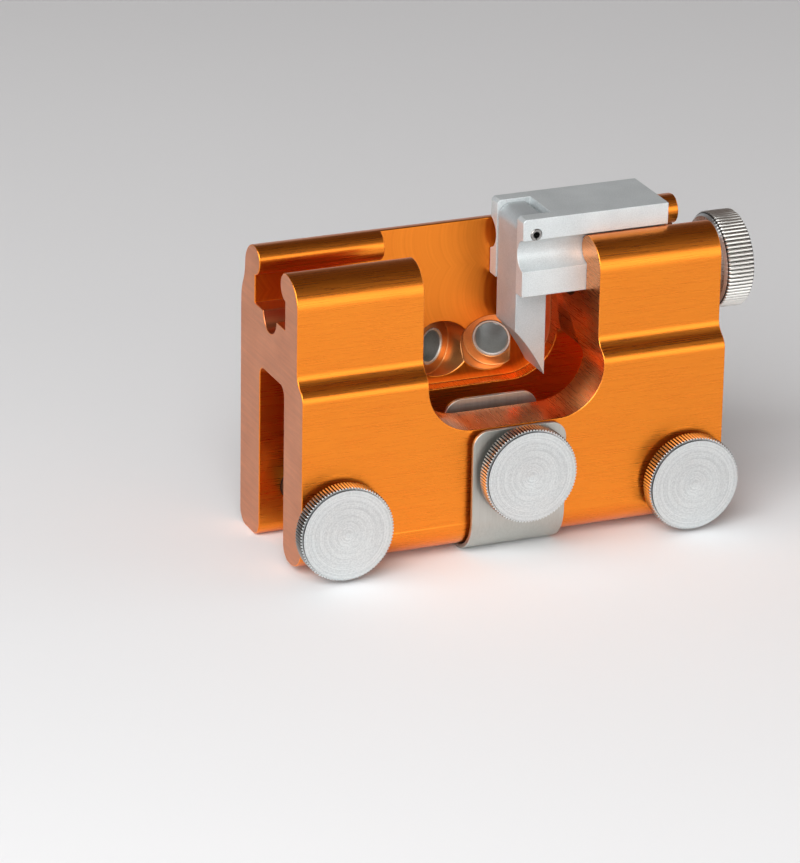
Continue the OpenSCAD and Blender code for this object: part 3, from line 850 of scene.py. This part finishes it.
def adjustingScrew():
    # heights run from the free end to the outer end, and one finish covers it all
    a = adjustSet
    low, high = nodeBox("adjusting_screw")
    chamfer = a["chamfer"]
    length = (high.x - low.x) / mm
    back = length - a["collarBack"]
    front = back + a["collarThick"]
    rings = [
        (loftSet["tipRadius"], 0.0, 0),
        *threadRings(0.0, back - a["threadGap"], 0),
        (neckRadius, back - a["neckGap"], 0),
        (neckRadius, back, 0),
        (a["collar"] - chamfer, back, 0),
        (a["collar"], back + chamfer, 0),
        (a["collar"], front - chamfer, 0),
        (a["collar"] - chamfer, front, 0),
        (neckRadius, front, 0),
        (neckRadius, length - a["endChamfer"], 0),
        (neckRadius - a["endChamfer"], length, 0),
    ]
    place = Vector((low.x, (low.y + high.y) / 2, (low.z + high.z) / 2))
    roundPiece("adjustingScrew", [(rings, a["screwPoints"])], [boreSteel], place, facingRight,
               "adjusting_screw", "adjuster")


adjustingKnob()
adjustingScrew()

pinSet = {"radius": 1.2, "hole": 0.68, "slit": 16, "chamfer": 0.15, "steps": 40, "sharpAngle": 30}


def rollPin():
    # rolled sheet pin with an open seam
    p = pinSet
    low, high = nodeBox("pawl_pin")
    length = (high.y - low.y) / mm
    steps = p["steps"]
    gap = math.radians(p["slit"])
    narrow = p["radius"] - p["chamfer"]
    far = length - p["chamfer"]
    profile = [(0.0, narrow), (p["chamfer"], p["radius"]), (far, p["radius"]), (length, narrow)]
    shape = bmesh.new()
    rows = []
    for z, outer in profile:
        row = []
        for r in (outer, p["hole"]):
            for i in range(steps + 1):
                a = gap / 2 + (2 * math.pi - gap) * i / steps - math.pi / 2
                row.append(shape.verts.new((r * math.cos(a) * mm, r * math.sin(a) * mm, -z * mm)))
        rows.append(row)
    n = steps + 1  # the hole's points follow the outer ones
    for k in range(len(rows) - 1):
        for i in range(steps):
            shape.faces.new((rows[k][i], rows[k + 1][i], rows[k + 1][i + 1], rows[k][i + 1]))
            shape.faces.new((rows[k][n + i], rows[k][n + i + 1], rows[k + 1][n + i + 1], rows[k + 1][n + i]))
        shape.faces.new((rows[k][0], rows[k][n], rows[k + 1][n], rows[k + 1][0]))
        shape.faces.new((rows[k][steps], rows[k + 1][steps], rows[k + 1][n + steps], rows[k][n + steps]))
    for row, flip in ((rows[0], False), (rows[-1], True)):
        for i in range(steps):
            ring = (row[i], row[i + 1], row[n + i + 1], row[n + i])
            shape.faces.new(tuple(reversed(ring)) if flip else ring)
    bmesh.ops.recalc_face_normals(shape, faces=shape.faces)
    for face in shape.faces:
        face.smooth = True
    mesh = bpy.data.meshes.new("pawlPin")
    shape.to_mesh(mesh)
    shape.free()
    mesh.materials.append(pinSteel)
    mesh.set_sharp_from_angle(angle=math.radians(p["sharpAngle"]))
    piece = bpy.data.objects.new("pawlPin", mesh)
    scene.collection.objects.link(piece)
    place = Vector(((low.x + high.x) / 2, low.y, (low.z + high.z) / 2))
    piece.matrix_world = Matrix.Translation(place) @ facingFront
    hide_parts("pawl_pin")
    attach(piece, "slide")
    print("pawl pin rolled")


rollPin()

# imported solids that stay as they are
plainFinish = {
    "left_guide_bush": bushSteel,
    "right_guide_bush": bushSteel,
    "left_clamp_tip": tipBrass,
    "right_clamp_tip": tipBrass,
    "left_bar_stop": darkOxideAndStepShade,
    "right_bar_stop": darkOxideAndStepShade,
    "plate_washer": boreSteel,
    "plate_clip": darkOxideAndStepShade,
    "thrust_washer": boreSteel,
    "knob_set_screw": darkOxideAndStepShade,
    "keeper_pin": darkOxideAndStepShade,
}
for name, finish in plainFinish.items():
    slots = nodes[name].data.materials
    if len(slots):
        slots[0] = finish
    else:
        slots.append(finish)
print("plain pieces finished", len(plainFinish))


# floor, soft boxes and a room that is dark overhead
stageSet = {
    "floorColour": (0.80, 0.805, 0.81),
    "floorShade": 0.97,
    "floorMottle": 3.0,
    "floorHalf": 3.0,
    "sky": [
        (0.50, (0.56, 0.57, 0.59)),
        (0.60, (0.52, 0.53, 0.55)),
        (0.72, (0.16, 0.13, 0.12)),
        (0.85, (0.12, 0.085, 0.07)),
    ],
    "skyFront": 0.4,
    "skyBack": 0.9,
    "skyTurn": (0.6, 0.8),
    "aim": (0, 16, 30),
    "lamps": [
        ("keyBox", (300, -960, 215), 1.3, 0.62, 3.9, (1.0, 0.99, 0.97)),
        ("highBox", (-600, -640, 650), 1.0, 1.0, 16.5, (0.98, 0.99, 1.0)),
        ("rightBox", (1010, -330, 580), 1.0, 0.9, 2.5, (0.99, 0.995, 1.0)),
        ("leftBox", (-1010, 60, 620), 0.55, 0.5, 2.6, (0.98, 0.99, 1.0)),
    ],
}


def makeFloor():
    half = stageSet["floorHalf"]
    mesh = bpy.data.meshes.new("paleFloor")
    corners = [(-half, -half, 0), (half, -half, 0), (half, half, 0), (-half, half, 0)]
    mesh.from_pydata(corners, [], [(0, 1, 2, 3)])
    floor = bpy.data.objects.new("paleFloor", mesh)
    scene.collection.objects.link(floor)
    finish, tree, links, shader = startFinish("palePaper", {"Roughness": 0.8, "Specular IOR Level": 0.2})
    cloud = placeGroup(tree, grainGroup, {"Mottle": stageSet["floorMottle"]}).outputs["Cloud"]
    low = tuple(c * stageSet["floorShade"] for c in stageSet["floorColour"])
    colour = ramp(tree, links, cloud, [(0.3, low), (0.7, stageSet["floorColour"])])
    links.new(colour, shader.inputs["Base Color"])
    mesh.materials.append(finish)


def makeSky():
    world = bpy.data.worlds.new("studio")
    world.use_nodes = True
    tree = world.node_tree.nodes
    links = world.node_tree.links
    split = tree.new("ShaderNodeSeparateXYZ")
    links.new(tree.new("ShaderNodeTexCoord").outputs["Generated"], split.inputs[0])
    height = spread(tree, links, split.outputs["Z"], 0.0, 1.0, -1.0, 1.0)
    links.new(ramp(tree, links, height, stageSet["sky"]), tree["Background"].inputs["Color"])
    towardsX, towardsY = stageSet["skyTurn"]
    back = weighted(tree, links, split.outputs["X"], towardsX, split.outputs["Y"], towardsY)
    level = spread(tree, links, back, stageSet["skyFront"], stageSet["skyBack"], -1.0, 1.0)
    links.new(level, tree["Background"].inputs["Strength"])
    scene.world = world


def makeLamps():
    for name, place, wide, high, watts, colour in stageSet["lamps"]:
        lamp = bpy.data.lights.new(name, "AREA")
        lamp.shape = "RECTANGLE"
        lamp.size = wide
        lamp.size_y = high
        lamp.energy = watts
        lamp.color = colour
        holder = bpy.data.objects.new(name, lamp)
        scene.collection.objects.link(holder)
        holder.location = spot(*place)
        aim = spot(*stageSet["aim"]) - holder.location
        holder.rotation_euler = aim.to_track_quat("-Z", "Y").to_euler()


makeFloor()
makeSky()
makeLamps()
print("stage set")
